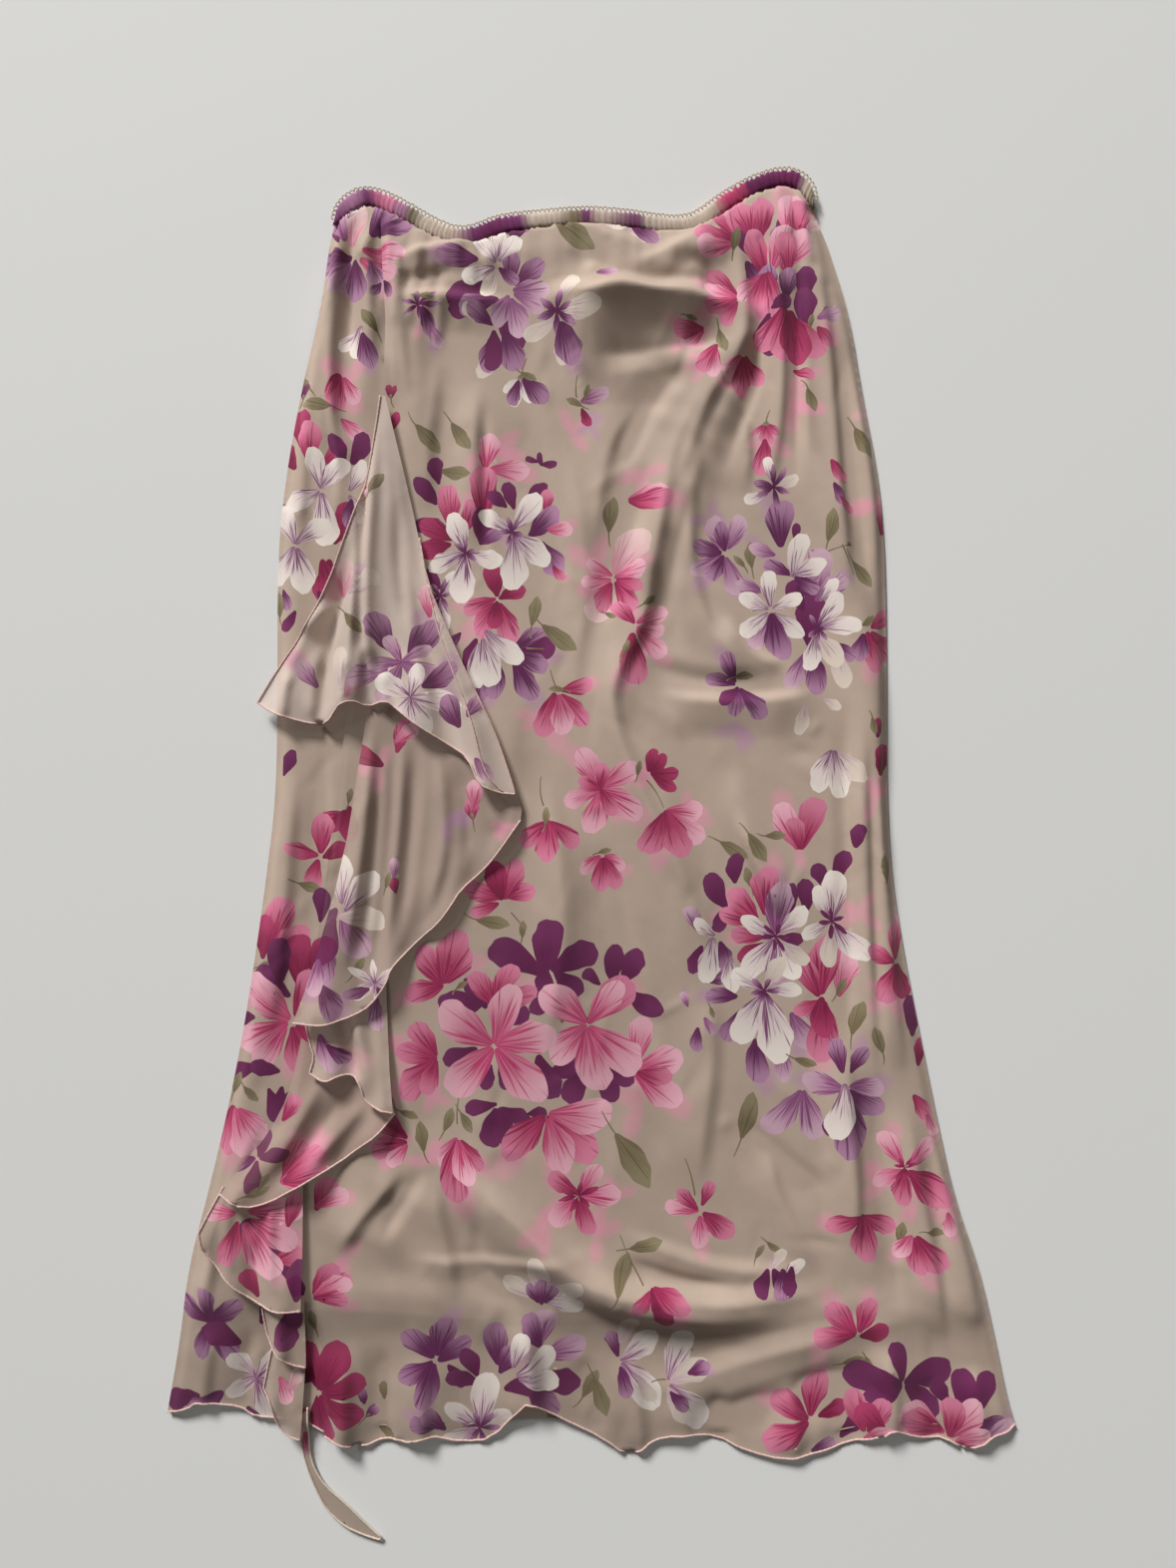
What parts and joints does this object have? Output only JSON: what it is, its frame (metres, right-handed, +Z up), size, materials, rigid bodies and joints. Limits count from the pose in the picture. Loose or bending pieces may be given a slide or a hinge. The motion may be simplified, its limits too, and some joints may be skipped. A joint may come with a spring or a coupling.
{
  "type": "ruffle midi skirt",
  "caption": "Elastic-waist midi skirt in sheer floral chiffon with a waterfall ruffle down one seam, laid flat.",
  "frame": {"origin": "on the surface it rests on, under the middle of its box", "axes": "+Y from the hem to the waist, +Z up out of the front of the skirt, +X to the right in the picture"},
  "size_m": [0.5319, 0.8598, 0.0235],
  "materials": {
    "printed_chiffon": "matt printed chiffon",
    "ruffle_chiffon": "matt printed chiffon, single layer",
    "lining": "plain lining, slight sheen",
    "casing_chiffon": "ruched printed chiffon",
    "cream_thread": "cream picot thread"
  },
  "bodies": {
    "root": {"back_panel": "printed_chiffon", "front_side_gore": "printed_chiffon", "front_main_gore": "printed_chiffon", "lining_back": "lining", "lining_front": "lining", "casing_back": "casing_chiffon", "casing_front": "casing_chiffon", "picot_trim": "cream_thread", "ruffle_fall_1": "ruffle_chiffon", "ruffle_fall_2": "ruffle_chiffon", "ruffle_fall_3": "ruffle_chiffon", "ruffle_fall_4": "ruffle_chiffon", "ruffle_fall_5": "ruffle_chiffon", "ruffle_fall_6": "ruffle_chiffon", "ruffle_fall_7": "ruffle_chiffon", "ruffle_tail": "ruffle_chiffon"}
  },
  "joints": []
}
